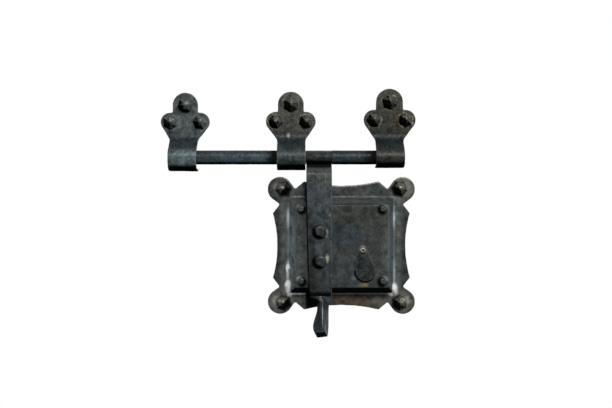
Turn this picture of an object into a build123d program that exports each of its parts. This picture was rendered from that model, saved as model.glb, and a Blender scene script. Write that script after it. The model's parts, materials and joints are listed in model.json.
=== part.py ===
from build123d import *
import os
from math import cos, radians, sin, tan

# Forged iron door lock: a bolt bar in three strap keepers, with a hasp over a box lock.
# Millimetres, X right, Y into the door, Z up. The door's face is Y = 0.
# The origin is the centre of the lock case's back. Depth is the distance off the door, to the front.

# Lock case, one dished sheet
case_sheet = 2.0
case_depth = 18.0
face_width = 97.4
face_height = 86.4
face_corner = 5.0
face_edge_round = 1.2
hip_round = 2.0
wall_slope = 24.0
cove_radius = 4.0

# Flange of the lock case
plate_width = 146.2
plate_height = 137.0
side_edge_length = 68.6
top_edge_length = 79.0
edge_hollow = 4.8
lobe_span_x = 130.0
lobe_span_z = 119.2
lobe_radius = 13.5
notch_reach = 16.0
notch_spread = 48.0

# Back cap and the pillars that carry it
cap_sheet = 2.0
cap_recess = 0.5
cap_play = 0.3
pillar_side_inset = 6.4
pillar_top_inset = 4.6
pillar_bottom_inset = 6.6
pillar_radius = 2.8
pillar_shank_radius = 2.0
pillar_head_radius = 4.0
pillar_head_height = 2.4

# Bolt bar
bar_radius = 7.5
bar_height = 92.8
bar_door_gap = 1.5
bar_left_end = -179.0
bar_right_end = 64.5
bar_end_chamfer = 1.0

# Keepers, strap loops with a three-lobed nail plate, each forged by eye to its own size
left_keeper_x = -166.6
left_keeper_size = 0.985
left_keeper_drop = 3.6
left_keeper_lean = 1.2
middle_keeper_x = -53.0
middle_keeper_size = 1.0
middle_keeper_drop = 2.4
middle_keeper_lean = -0.6
right_keeper_x = 50.6
right_keeper_size = 1.045
right_keeper_drop = 0.2
right_keeper_lean = 0.5
keeper_sheet = 3.0
keeper_width = 30.4
keeper_play = 0.4
keeper_slope = 45.0
keeper_bend = 12.0
top_lobe_radius = 13.9
top_lobe_rise = 56.5
side_lobe_radius = 10.5
side_lobe_rise = 38.5
side_lobe_offset = 16.1
flare_rise = 19.0
flare_round = 9.0

# Nails, with a square neck in the plate and a round shank in the wood
nail_neck = 4.4
nail_hole_play = 0.3
nail_shank_radius = 2.5
nail_shank_length = 30.0
nail_point_length = 6.0
nail_head_height = 6.0
nail_head_rim = 1.4
nail_crown_height = 4.2
nail_crown_share = 0.66
nail_tip_share = 0.18
nail_facets = 6
nail_turn_step = 23.0
case_nail_span_x = 123.8
case_nail_span_z = 121.0
case_nail_radius = 7.4
case_nail_turn = 42.0
top_nail_radius = 8.8
side_nail_radius = 8.3
left_nail_turn = 8.0
middle_nail_turn = 27.0
right_nail_turn = 40.0

# Hasp, a strap rolled round the bar's neck
hasp_x = -23.9
hasp_width = 26.6
hasp_taper = 4.0
hasp_sheet = 3.0
hasp_standoff = 1.5
hasp_side_play = 0.1
hasp_eye_play = 0.05
eye_end_angle = -70.0
eye_leave_angle = 232.0
crease_radius = 4.0
heel_radius = 10.0
heel_drop = 2.0
heel_reach = 9.0
heel_slope = 45.0
tail_side = 11.0
tail_length = 38.5
tail_lean = 38.0
tail_twist = 31.0
tail_flat = 1.0
tail_root_drop = 7.0
tail_root_shift = 3.6
tail_end_shift = 1.8

# Staple on the back of the hasp, with its ends peened over the front
staple_x = -23.2
staple_span = 30.8
staple_wire = 5.0
staple_bend = 5.5
staple_fit = 0.05
staple_cap_gap = 0.5
staple_head_radius = 7.2
staple_head_height = 2.6
slot_play = 0.5
slot_draw_play = 4.2
slot_swing_play = 1.6

# Keyhole and the key's turning circle
key_x = 24.0
key_z = -17.5
key_reach = 13.8
keyhole_radius = 4.2
keyhole_slot = 5.0
key_post_radius = 2.0
key_post_length = 10.5
key_post_collar = 4.0
key_post_collar_height = 1.5
ward_radius = 8.0
ward_sheet = 1.2
ward_height = 4.0
ward_gap_angle = 60.0
ward_foot_width = 3.6
ward_foot_height = 1.0

# Teardrop cover over the keyhole
cover_pivot_x = 21.6
cover_pivot_z = -4.3
cover_sheet = 1.6
cover_gap = 0.2
cover_boss_radius = 5.0
cover_drop_radius = 10.1
cover_drop_length = 22.0
cover_tilt = 7.3
rivet_radius = 2.0
rivet_fit = 0.05
rivet_head_radius = 3.4
rivet_head_height = 1.6
rivet_dimple_radius = 1.4
rivet_dimple_depth = 0.8
rivet_tail_radius = 3.2
rivet_tail_height = 1.2

# Inner bolt, its guides and its spring
bolt_thickness = 4.0
bolt_height = 12.0
bolt_tip_gap = 4.2
bolt_tail_x = 38.0
bolt_throw = 14.0
bolt_play = 0.3
staple_bolt_gap = 0.5
talon_width = 6.4
talon_depth = 3.0
guide_sheet = 3.0
guide_rim = 4.0
guide_face_gap = 0.6
guide_foot_length = 7.0
guide_foot_sheet = 2.0
guide_tenon_radius = 1.5
guide_tenon_inset = 3.5
front_guide_x = -11.0
rear_guide_x = 8.0
spring_sheet = 1.0
spring_gap = 0.15
spring_touch_x = 17.0
spring_rise_angle = 28.0
spring_rise_radius = 30.0
spring_run = 11.0
spring_tip_angle = 40.0
spring_tip_radius = 4.0
spring_fit = 0.05
stud_length = 9.0
stud_height = 8.0
stud_front = 1.5

# Peened heads: a rim, then a crown with a flat top
peen_rim_share = 0.45
peen_crown_share = 0.6

# Levels that several pieces share
bar_depth = bar_radius + bar_door_gap
wall_lean = tan(radians(wall_slope))
wall_across = case_sheet / cos(radians(wall_slope))
dome_width = face_width + 2 * (case_depth - case_sheet) * wall_lean
dome_height = face_height + 2 * (case_depth - case_sheet) * wall_lean
cap_front = cap_recess + cap_sheet
face_back = case_depth - case_sheet
neck_radius = bar_radius - hasp_sheet - hasp_eye_play
nail_hole_radius = nail_neck / 2 * 2 ** 0.5 + nail_hole_play
hasp_back = case_depth + hasp_standoff
hasp_front = hasp_back + hasp_sheet
staple_radius = staple_wire / 2
staple_axis_depth = cap_front + staple_cap_gap + staple_radius
bolt_back = staple_axis_depth + staple_radius + staple_bolt_gap
bolt_front = bolt_back + bolt_thickness
bolt_tip_x = staple_x + staple_radius + bolt_tip_gap

# Tolerance for finding edges and corners at a level
LEVEL = 0.01


def door_plane(depth):
    """Sketch plane facing the viewer: sketch x is X, sketch y is Z, and extrusion goes to the front."""
    return Plane.XZ.offset(depth)


def side_plane(x):
    """Sketch plane seen from the side: sketch x is depth, sketch y is Z."""
    return Plane(origin=(x, 0, 0), x_dir=(0, -1, 0), z_dir=(-1, 0, 0))


def between(sketch, back, front):
    """Solid of a front-view sketch from one depth to another."""
    return extrude(door_plane(back) * sketch, amount=front - back)


def between_tapered(width, height, corner, back, front):
    """Rounded block that narrows to the front at the wall slope."""
    base = door_plane(back) * RectangleRounded(width, height, corner)
    return extrude(base, amount=front - back, taper=wall_slope)


def disc(x, z, radius, back, front):
    """Round solid along the depth."""
    return between(Pos(x, z) * Circle(radius), back, front)


def four_corners(span_x, span_z):
    """Centres of a rectangular pattern about the origin."""
    return [(sx * span_x / 2, sz * span_z / 2) for sx in (-1, 1) for sz in (-1, 1)]


def frustum(x, z, back_radius, front_radius, back, front):
    """Cone without its tip along the depth."""
    ends = [(back, back_radius), (front, front_radius)]
    return loft([door_plane(depth) * Pos(x, z) * Circle(radius) for depth, radius in ends], ruled=True)


def peened_head(x, z, radius, seat, height):
    """Hammered rivet head: a steep rim and a low crown."""
    rim = seat + peen_rim_share * height
    head = frustum(x, z, radius, peened_rim_radius(radius), seat, rim)
    return head + frustum(x, z, peened_rim_radius(radius), peen_crown_share * radius, rim, seat + height)


def peened_rim_radius(radius):
    """Radius where a peened head's rim meets its crown."""
    return (3 + peen_crown_share) / 4 * radius


def strap(path, sheet, x, width):
    """Bent strap: a side-view centre line given a thickness and a width."""
    return extrude(side_plane(x) * trace(path, line_width=sheet), amount=width / 2, both=True)


def case_outline():
    """Flange outline: hollow edges between pointed corners, with a round lobe at each corner."""
    lobe_x = lobe_span_x / 2
    lobe_z = lobe_span_z / 2
    notches = []
    for angle in (225 - notch_spread, 225 + notch_spread):
        notch_x = lobe_x + notch_reach * cos(radians(angle))
        notch_z = lobe_z + notch_reach * sin(radians(angle))
        notches.append((notch_x, notch_z))
    top_corner = (top_edge_length / 2, plate_height / 2)
    side_corner = (plate_width / 2, side_edge_length / 2)
    top_middle = (0, plate_height / 2 - edge_hollow)
    side_middle = (plate_width / 2 - edge_hollow, 0)
    top_edge = TangentArc(top_middle, top_corner, tangent=(1, 0))
    corner_edge = Polyline(top_corner, notches[0], notches[1], side_corner)
    side_edge = TangentArc(side_middle, side_corner, tangent=(0, 1))
    inner_edge = Polyline(side_middle, (0, 0), top_middle)
    quarter = make_face([*top_edge.edges(), *corner_edge.edges(), *side_edge.edges(), *inner_edge.edges()])
    lobe_edges = [*(Pos(lobe_x, lobe_z) * Circle(lobe_radius)).edges(), *Line(*notches).edges()]
    quarter += make_hull(lobe_edges)
    half = quarter + mirror(quarter, about=Plane.YZ)
    return half + mirror(half, about=Plane.XZ)


def pillar_places():
    """Centres of the pillars, set in from the edges of the face."""
    side = face_width / 2 - pillar_side_inset
    top = face_height / 2 - pillar_top_inset
    bottom = pillar_bottom_inset - face_height / 2
    return [(x, z) for x in (-side, side) for z in (bottom, top)]


def keyhole_sketch():
    """Round hole for the key's barrel with a slot below it for the bit."""
    slot = Pos(key_x, key_z - key_reach / 2) * Rectangle(keyhole_slot, key_reach)
    return Pos(key_x, key_z) * Circle(keyhole_radius) + slot


def staple_slot_sketch():
    """Slot in the face for the staple, wider to the right, where the bar is drawn."""
    left = staple_x - staple_radius - slot_play
    right = staple_x + staple_radius + slot_draw_play
    top = staple_span / 2 + staple_radius + slot_swing_play
    bottom = -staple_span / 2 - staple_radius - slot_swing_play
    return Pos((left + right) / 2, (top + bottom) / 2) * Rectangle(right - left, top - bottom)


def lock_case():
    """Flange with a raised hollow box, all one sheet, and every hole through it."""
    base = door_plane(case_sheet) * Rectangle(dome_width, dome_height)
    dome = extrude(base, amount=case_depth - case_sheet, taper=wall_slope)
    hips = dome.edges() - dome.edges().filter_by(Axis.X) - dome.edges().filter_by(Axis.Z)
    dome = fillet(hips, hip_round)
    face_level = dome.faces().sort_by(Axis.Y)[0]
    dome = fillet(face_level.edges(), face_edge_round)
    body = between(case_outline(), 0, case_sheet) + dome
    foot = []
    for edge in body.edges().filter_by_position(Axis.Y, -case_sheet - LEVEL, -case_sheet + LEVEL):
        middle = edge.center()
        if abs(middle.X) < dome_width / 2 + LEVEL and abs(middle.Z) < dome_height / 2 + LEVEL:
            foot.append(edge)
    body = fillet(foot, cove_radius)
    spare = 2 * (wall_across - case_sheet * wall_lean)
    hollow_corner = face_corner + (case_depth - case_sheet) * wall_lean - spare / 2
    body -= between_tapered(dome_width - spare, dome_height - spare, hollow_corner, 0, face_back)
    for x, z in four_corners(case_nail_span_x, case_nail_span_z):
        body -= disc(x, z, nail_hole_radius, 0, case_sheet)
    for x, z in pillar_places():
        body -= disc(x, z, pillar_shank_radius + rivet_fit, face_back, case_depth)
    body -= between(staple_slot_sketch() + keyhole_sketch(), face_back, case_depth)
    return body - disc(cover_pivot_x, cover_pivot_z, rivet_radius + rivet_fit, face_back, case_depth)


def nail(x, z, seat, radius, turn):
    """Forged nail: faceted head, square neck in the plate, round shank and point in the wood."""
    place = Pos(x, z) * Rot(0, 0, turn)
    levels = [
        (0, radius),
        (nail_head_rim, radius - nail_head_rim / 4),
        (nail_crown_height, nail_crown_share * radius),
        (nail_head_height, nail_tip_share * radius),
    ]
    rings = [door_plane(seat + h) * place * RegularPolygon(r, nail_facets) for h, r in levels]
    head = loft(rings, ruled=True)
    neck = between(place * Rectangle(nail_neck, nail_neck), 0, seat)
    shank_end = nail_point_length - nail_shank_length
    shank = disc(x, z, nail_shank_radius, shank_end, 0)
    point_base = door_plane(shank_end) * Pos(x, z) * Circle(nail_shank_radius)
    blunt_end = door_plane(-nail_shank_length) * Pos(x, z) * Circle(nail_shank_radius / 5)
    return head + neck + shank + loft([point_base, blunt_end], ruled=True)


def keeper_outline(x, size, drop, lean):
    """Front view of a keeper: three lobes, off to one side by the lean, a flare and the strap."""
    top_z = bar_height + size * top_lobe_rise
    side_z = bar_height + size * side_lobe_rise
    flare_z = bar_height + flare_rise
    bottom_z = bar_height - drop - 2 * bar_radius - 2 * keeper_sheet
    half = keeper_width / 2
    plate = Pos(lean, top_z) * Circle(size * top_lobe_radius)
    plate += Pos(lean, (top_z + flare_z) / 2) * Rectangle(2 * size * top_lobe_radius, top_z - flare_z)
    neck_edge = Line((-half, flare_z), (half, flare_z))
    for side in (-1, 1):
        lobe = Pos(lean + side * size * side_lobe_offset, side_z) * Circle(size * side_lobe_radius)
        plate += make_hull([*lobe.edges(), *neck_edge.edges()])
    plate += Pos(0, (flare_z + bottom_z) / 2) * Rectangle(keeper_width, flare_z - bottom_z)
    neck_corners = []
    for corner in plate.vertices():
        if abs(corner.Y - flare_z) < LEVEL and abs(abs(corner.X) - half) < LEVEL:
            neck_corners.append(corner)
    return Pos(x, 0) * fillet(neck_corners, flare_round)


def keeper_path(size, drop):
    """Side view of a keeper: flat on the door, sloping out, round the bar and back to the door below it."""
    loop_radius = bar_radius + keeper_play + keeper_sheet / 2
    slope = radians(keeper_slope)
    touch = (bar_depth + loop_radius * cos(slope), bar_height + loop_radius * sin(slope))
    plate_depth = keeper_sheet / 2
    bend_z = touch[1] + (touch[0] - plate_depth) / tan(slope)
    top_z = bar_height + size * (top_lobe_rise + top_lobe_radius)
    run = FilletPolyline((plate_depth, top_z), (plate_depth, bend_z), touch, radius=keeper_bend)
    shoulder = CenterArc((bar_depth, bar_height), loop_radius, keeper_slope, -keeper_slope)
    front = Line(shoulder @ 1, shoulder @ 1 - Vector(0, drop))
    turn = CenterArc((bar_depth, bar_height - drop), loop_radius, 0, -90)
    back = Line(turn @ 1, (0, bar_height - drop - loop_radius))
    return Curve() + run + shoulder + front + turn + back


def keeper_nail_places(x, size):
    """Centres and head radii of a keeper's nails."""
    side_z = bar_height + size * side_lobe_rise
    top = (x, bar_height + size * top_lobe_rise, top_nail_radius)
    sides = [(x + s * size * side_lobe_offset, side_z, side_nail_radius) for s in (-1, 1)]
    return [top, *sides]


def keeper(x, size, drop, lean):
    """Strap keeper with its nail holes."""
    sheet_width = 2 * size * (side_lobe_offset + side_lobe_radius) + keeper_width
    body = strap(keeper_path(size, drop), keeper_sheet, x, sheet_width)
    body &= between(keeper_outline(x, size, drop, lean), 0, 2 * bar_depth + 2 * keeper_sheet)
    for nail_x, nail_z, _ in keeper_nail_places(x + lean, size):
        body -= disc(nail_x, nail_z, nail_hole_radius, 0, keeper_sheet)
    return body


def keeper_nails(x, size, turn):
    """A keeper's nails, each hammered to its own turn."""
    nails = []
    for count, (nail_x, nail_z, radius) in enumerate(keeper_nail_places(x, size)):
        nails.append(nail(nail_x, nail_z, keeper_sheet, radius, turn + count * nail_turn_step))
    return nails


def case_nails():
    """Four nails, one in each lobe of the flange."""
    nails = []
    for count, (x, z) in enumerate(four_corners(case_nail_span_x, case_nail_span_z)):
        nails.append(nail(x, z, case_sheet, case_nail_radius, case_nail_turn + count * nail_turn_step))
    return nails


def slide_bar():
    """Round bar with a turned-down neck where the hasp is rolled round it."""
    length = bar_right_end - bar_left_end
    axis = Plane(origin=(bar_left_end, -bar_depth, bar_height), z_dir=(1, 0, 0))
    bar = extrude(axis * Circle(bar_radius), amount=length)
    bar = chamfer(bar.edges().filter_by(GeomType.CIRCLE), bar_end_chamfer)
    groove_plane = Plane(origin=(hasp_x, -bar_depth, bar_height), z_dir=(1, 0, 0))
    groove_ring = Circle(2 * bar_radius) - Circle(neck_radius)
    return bar - extrude(groove_plane * groove_ring, amount=hasp_width / 2 + hasp_side_play, both=True)


def hasp_path():
    """Side view of the hasp: eye round the neck, joggle to the front, flat run, heel turned back."""
    eye_radius = bar_radius - hasp_sheet / 2
    eye = CenterArc((bar_depth, bar_height), eye_radius, eye_end_angle, eye_leave_angle - eye_end_angle)
    leave = eye @ 1
    flat_depth = hasp_back + hasp_sheet / 2
    crease_z = leave.Y + (eye % 1).Y * (flat_depth - leave.X) / (eye % 1).X
    heel_z = -face_height / 2 - heel_drop
    heel = radians(heel_slope)
    heel_end = (flat_depth - heel_reach * sin(heel), heel_z - heel_reach * cos(heel))
    middle = (flat_depth, (crease_z + heel_z) / 2)
    upper = FilletPolyline((leave.X, leave.Y), (flat_depth, crease_z), middle, radius=crease_radius)
    lower = FilletPolyline(middle, (flat_depth, heel_z), heel_end, radius=heel_radius)
    return Curve() + eye + upper + lower


def hasp_tail():
    """Finger tail, drawn out of the strap into a twisted square that leans off the door."""
    flat_depth = hasp_back + hasp_sheet / 2
    heel = radians(heel_slope)
    heel_depth = flat_depth - heel_reach * sin(heel)
    heel_z = -face_height / 2 - heel_drop - heel_reach * cos(heel)
    lean = radians(tail_lean)
    root_z = heel_z - tail_root_drop
    half = tail_length / 2
    middle = (heel_depth + half * sin(lean), root_z - half * cos(lean))
    end = (heel_depth + tail_length * sin(lean), root_z - tail_length * cos(lean))
    middle_shift = (tail_root_shift + tail_end_shift) / 2
    strap_edge = hasp_sheet / 2
    sections = [
        tail_section((heel_depth, heel_z), 0, -heel_slope, hasp_width / 2, strap_edge, strap_edge, 0),
        square_section((heel_depth, root_z), tail_root_shift, tail_lean / 2, 0),
        square_section(middle, middle_shift, tail_lean, tail_twist / 2),
        square_section(end, tail_end_shift, tail_lean, tail_twist),
    ]
    return loft(sections)


def square_section(place, shift, lean, twist):
    """Section of the square finger, with one corner to the front."""
    reach = tail_side / 2 ** 0.5
    return tail_section(place, shift, lean, reach - tail_flat / 2, tail_flat / 2, reach, twist)


def tail_section(place, shift, lean, half_width, half_edge, half_depth, twist):
    """Section square to the tail's run: a short edge at each side, a ridge in front and one behind."""
    depth, z = place
    run = (0, -sin(radians(lean)), -cos(radians(lean)))
    plane = Plane(origin=(hasp_x + shift, -depth, z), x_dir=(1, 0, 0), z_dir=run)
    right = [(half_width, -half_edge), (half_width, half_edge), (0, half_depth)]
    left = [(-half_width, half_edge), (-half_width, -half_edge), (0, -half_depth)]
    return plane * Rot(0, 0, -twist) * make_face(Polyline(*right, *left, close=True))


def hasp():
    """Strap, eye and tail in one piece, with two holes for the staple."""
    body = strap(hasp_path(), hasp_sheet, hasp_x, hasp_width) + hasp_tail()
    left = hasp_x - hasp_width / 2
    top = plate_height / 2
    bottom = -plate_height / 2
    trimmed = make_face(Polyline((left, top), (left + hasp_taper, bottom), (left, bottom), close=True))
    body -= between(trimmed, 0, 2 * hasp_front)
    for side in (-1, 1):
        body -= disc(staple_x, side * staple_span / 2, staple_radius + staple_fit, hasp_back, hasp_front)
    return body


def hasp_staple():
    """U-shaped wire through the hasp, with flat heads at the front."""
    half = staple_span / 2
    back = staple_axis_depth
    corners = [(hasp_front, half), (back, half), (back, -half), (hasp_front, -half)]
    route = side_plane(staple_x) * FilletPolyline(*corners, radius=staple_bend)
    start = Plane(origin=route @ 0, z_dir=route % 0)
    staple = sweep(start * Circle(staple_radius), path=route)
    for side in (-1, 1):
        staple += peened_head(staple_x, side * half, staple_head_radius, hasp_front, staple_head_height)
    return staple


def back_cap():
    """Plate that closes the back of the case, with a hole for each tenon and pillar."""
    inset = wall_across + (cap_front - case_sheet) * wall_lean + cap_play
    corner = face_corner + (case_depth - case_sheet) * wall_lean - inset
    plate = RectangleRounded(dome_width - 2 * inset, dome_height - 2 * inset, corner)
    body = between(plate, cap_recess, cap_front)
    for x, z in pillar_places():
        body -= disc(x, z, pillar_shank_radius + rivet_fit, cap_recess, cap_front)
    for x, z in tenon_places():
        body -= disc(x, z, guide_tenon_radius + rivet_fit, cap_recess, cap_front)
    body -= disc(key_x, key_z, key_post_radius + rivet_fit, cap_recess, cap_front)
    return body


def cap_pillars():
    """Four shouldered pillars, domed over the face and peened flush in the cap."""
    pillars = []
    for x, z in pillar_places():
        shank = disc(x, z, pillar_shank_radius, cap_recess, case_depth)
        head = peened_head(x, z, pillar_head_radius, case_depth, pillar_head_height)
        pillars.append(shank + disc(x, z, pillar_radius, cap_front, face_back) + head)
    return pillars


def lock_bolt():
    """Flat bolt with a bevelled tip and a talon that the key's bit pushes."""
    length = bolt_tail_x - bolt_tip_x
    body = between(Pos(bolt_tip_x + length / 2, 0) * Rectangle(length, bolt_height), bolt_back, bolt_front)
    tip_edges = body.faces().sort_by(Axis.X)[0].edges()
    body = chamfer(tip_edges, bolt_thickness / 4)
    talon_x = key_x + bolt_throw / 2
    talon = Pos(talon_x, -bolt_height / 2 + talon_depth / 2) * Rectangle(talon_width, talon_depth)
    return body - between(talon, bolt_back, bolt_front)


def guide_foot_x(guide_x, side):
    """Middle of a guide's foot."""
    return guide_x + side * (guide_sheet + guide_foot_length) / 2


def tenon_places():
    """Centres of the tenons that rivet the guides and the spring stud to the cap."""
    tenon_z = bolt_height / 2 + guide_rim - guide_tenon_inset
    places = []
    for guide_x, side in ((front_guide_x, 1), (rear_guide_x, -1)):
        places += [(guide_foot_x(guide_x, side), s * tenon_z) for s in (-1, 1)]
    stud_x, stud_z = spring_stud_centre()
    return [*places, (stud_x, stud_z)]


def bolt_guide(guide_x, side):
    """Windowed upright with a foot riveted to the cap."""
    height = bolt_height + 2 * guide_rim
    top = face_back - guide_face_gap
    body = between(Pos(guide_x, 0) * Rectangle(guide_sheet, height), cap_front, top)
    window = Pos(guide_x, 0) * Rectangle(2 * guide_sheet, bolt_height + 2 * bolt_play)
    body -= between(window, bolt_back - bolt_play, bolt_front + bolt_play)
    foot_x = guide_foot_x(guide_x, side)
    foot = Pos(foot_x, 0) * Rectangle(guide_foot_length, height)
    body += between(foot, cap_front, cap_front + guide_foot_sheet)
    tenon_z = height / 2 - guide_tenon_inset
    for s in (-1, 1):
        body += disc(foot_x, s * tenon_z, guide_tenon_radius, cap_recess, cap_front)
    return body


def spring_path():
    """Front view of the leaf spring: curled tip, touch on the bolt's top edge, rise to the stud."""
    touch = (spring_touch_x, bolt_height / 2 + spring_gap + spring_sheet / 2)
    rise = JernArc(touch, (1, 0), spring_rise_radius, spring_rise_angle)
    run = PolarLine(rise @ 1, spring_run, spring_rise_angle)
    tip = JernArc(touch, (-1, 0), spring_tip_radius, -spring_tip_angle)
    return Curve() + tip + rise + run


def spring_end():
    """Far end of the leaf spring, in the stud's slit."""
    angle = radians(spring_rise_angle)
    x = spring_touch_x + spring_rise_radius * sin(angle) + spring_run * cos(angle)
    touch_z = bolt_height / 2 + spring_gap + spring_sheet / 2
    z = touch_z + spring_rise_radius * (1 - cos(angle)) + spring_run * sin(angle)
    return x, z


def spring_stud_centre():
    """Middle of the stud, where the spring's last stretch lies in its slit."""
    angle = radians(spring_rise_angle)
    x, z = spring_end()
    return x - stud_length / 4 * cos(angle), z - stud_length / 4 * sin(angle)


def bolt_spring():
    """Leaf spring that bears on the bolt's top edge."""
    return between(trace(spring_path(), line_width=spring_sheet), bolt_back, bolt_front)


def spring_stud():
    """Slit block that holds the spring, riveted to the cap."""
    x, z = spring_stud_centre()
    block = Pos(x, z) * Rot(0, 0, spring_rise_angle) * Rectangle(stud_length, stud_height)
    body = between(block, cap_front, bolt_front + stud_front)
    slit = trace(spring_path(), line_width=spring_sheet + 2 * spring_fit)
    body -= between(slit, bolt_back - spring_fit, bolt_front + stud_front)
    return body + disc(x, z, guide_tenon_radius, cap_recess, cap_front)


def key_post():
    """Pin that a pipe key turns on, with a collar on the cap."""
    post = disc(key_x, key_z, key_post_radius, cap_recess, cap_front + key_post_length)
    tip = post.faces().sort_by(Axis.Y)[0].edges()
    post = chamfer(tip, key_post_radius / 2)
    return post + disc(key_x, key_z, key_post_collar, cap_front, cap_front + key_post_collar_height)


def ward_ring():
    """Broken ring on a foot, open below the key post where the bit comes in."""
    ring = Circle(ward_radius + ward_sheet / 2) - Circle(ward_radius - ward_sheet / 2)
    foot = Circle(ward_radius + ward_foot_width / 2) - Circle(ward_radius - ward_foot_width / 2)
    half_gap = radians(ward_gap_angle / 2)
    reach = 2 * (ward_radius + ward_foot_width)
    gap_left = (-reach * sin(half_gap), -reach * cos(half_gap))
    gap_right = (reach * sin(half_gap), -reach * cos(half_gap))
    gap = make_face(Polyline((0, 0), gap_left, gap_right, close=True))
    centre = Pos(key_x, key_z)
    wall = between(centre * (ring - gap), cap_front, cap_front + ward_height)
    return wall + between(centre * (foot - gap), cap_front, cap_front + ward_foot_height)


def keyhole_cover():
    """Teardrop plate that hangs over the keyhole, a little off plumb."""
    boss = Circle(cover_boss_radius)
    drop = Pos(0, -cover_drop_length) * Circle(cover_drop_radius)
    shape = make_hull([*boss.edges(), *drop.edges()]) - Circle(rivet_radius + rivet_fit)
    back = case_depth + cover_gap
    hung = Pos(cover_pivot_x, cover_pivot_z) * Rot(0, 0, cover_tilt) * shape
    return between(hung, back, back + cover_sheet)


def cover_rivet():
    """Pivot of the cover, with a dimpled head and a peened tail inside the case."""
    x, z = cover_pivot_x, cover_pivot_z
    seat = case_depth + 2 * cover_gap + cover_sheet
    top = seat + rivet_head_height
    head = peened_head(x, z, rivet_head_radius, seat, rivet_head_height)
    body = head + disc(x, z, rivet_radius, face_back, seat)
    body += disc(x, z, rivet_tail_radius, face_back - rivet_tail_height, face_back)
    return body - disc(x, z, rivet_dimple_radius, top - rivet_dimple_depth, top)


def save(name, shape):
    """Write one node, a solid or a group of like solids."""
    if isinstance(shape, list):
        shape = Compound(children=[*shape])
    export_step(shape, f"parts/{name}.step")


os.makedirs("parts", exist_ok=True)
save("lock_case", lock_case())
save("case_nails", case_nails())
save("back_cap", back_cap())
save("cap_pillars", cap_pillars())
save("left_keeper", keeper(left_keeper_x, left_keeper_size, left_keeper_drop, left_keeper_lean))
save("middle_keeper", keeper(middle_keeper_x, middle_keeper_size, middle_keeper_drop, middle_keeper_lean))
save("right_keeper", keeper(right_keeper_x, right_keeper_size, right_keeper_drop, right_keeper_lean))
left_plate_x = left_keeper_x + left_keeper_lean
middle_plate_x = middle_keeper_x + middle_keeper_lean
right_plate_x = right_keeper_x + right_keeper_lean
save("left_keeper_nails", keeper_nails(left_plate_x, left_keeper_size, left_nail_turn))
save("middle_keeper_nails", keeper_nails(middle_plate_x, middle_keeper_size, middle_nail_turn))
save("right_keeper_nails", keeper_nails(right_plate_x, right_keeper_size, right_nail_turn))
save("slide_bar", slide_bar())
save("hasp", hasp())
save("hasp_staple", hasp_staple())
save("keyhole_cover", keyhole_cover())
save("cover_rivet", cover_rivet())
save("lock_bolt", lock_bolt())
save("front_bolt_guide", bolt_guide(front_guide_x, 1))
save("rear_bolt_guide", bolt_guide(rear_guide_x, -1))
save("bolt_spring", bolt_spring())
save("spring_stud", spring_stud())
save("key_post", key_post())
save("ward_ring", ward_ring())
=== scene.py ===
import json
import math
from types import SimpleNamespace
from typing import NamedTuple

import bmesh
import bpy
import numpy as np
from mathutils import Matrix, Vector

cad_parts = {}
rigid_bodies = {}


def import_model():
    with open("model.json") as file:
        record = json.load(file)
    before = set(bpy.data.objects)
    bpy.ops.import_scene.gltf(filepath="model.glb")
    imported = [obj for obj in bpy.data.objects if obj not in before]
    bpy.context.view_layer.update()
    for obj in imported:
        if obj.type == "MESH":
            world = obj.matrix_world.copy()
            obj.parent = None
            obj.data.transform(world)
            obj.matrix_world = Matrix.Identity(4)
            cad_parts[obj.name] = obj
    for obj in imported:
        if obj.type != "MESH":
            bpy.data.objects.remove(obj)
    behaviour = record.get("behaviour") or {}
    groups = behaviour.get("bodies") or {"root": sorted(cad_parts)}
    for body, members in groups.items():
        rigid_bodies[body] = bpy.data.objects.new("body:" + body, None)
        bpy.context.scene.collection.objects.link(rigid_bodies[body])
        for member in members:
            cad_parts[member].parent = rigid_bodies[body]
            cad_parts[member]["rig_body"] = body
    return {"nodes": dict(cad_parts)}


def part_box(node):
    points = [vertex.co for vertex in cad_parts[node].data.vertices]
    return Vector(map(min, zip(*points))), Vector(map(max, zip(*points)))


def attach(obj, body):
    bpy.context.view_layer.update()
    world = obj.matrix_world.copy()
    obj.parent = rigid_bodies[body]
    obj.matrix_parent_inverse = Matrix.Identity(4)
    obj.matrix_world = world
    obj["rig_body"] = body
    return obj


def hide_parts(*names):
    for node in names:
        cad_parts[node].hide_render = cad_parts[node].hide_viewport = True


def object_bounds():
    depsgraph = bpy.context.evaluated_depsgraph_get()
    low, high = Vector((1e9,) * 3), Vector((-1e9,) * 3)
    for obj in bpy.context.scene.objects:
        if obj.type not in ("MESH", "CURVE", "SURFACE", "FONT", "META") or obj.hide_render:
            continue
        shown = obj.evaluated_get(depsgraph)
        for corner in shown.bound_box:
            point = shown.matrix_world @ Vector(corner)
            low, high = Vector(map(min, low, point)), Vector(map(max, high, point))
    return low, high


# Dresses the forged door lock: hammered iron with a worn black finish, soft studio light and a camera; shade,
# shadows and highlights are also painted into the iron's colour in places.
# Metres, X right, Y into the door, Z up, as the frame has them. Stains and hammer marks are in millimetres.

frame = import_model()
cad_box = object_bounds()

MM = 0.001

# Camera: the photograph's width in pixels, and where its eye stood
PHOTO_WIDTH = 612
EYE = Vector((-37.5, -840.0, 43.9)) * MM
FOCAL_PIXELS = 790.5
SENSOR_WIDTH = 36.0
NEAREST_SEEN = 0.01

# Lamp, placed from the middle of the object
LAMP_PLACE = Vector((0.24, -1.16, 0.86))
LAMP_SIZE = 0.35
LAMP_WATTS = 26.0
LAMP_COLOUR = (1.0, 0.98, 0.95)

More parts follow.
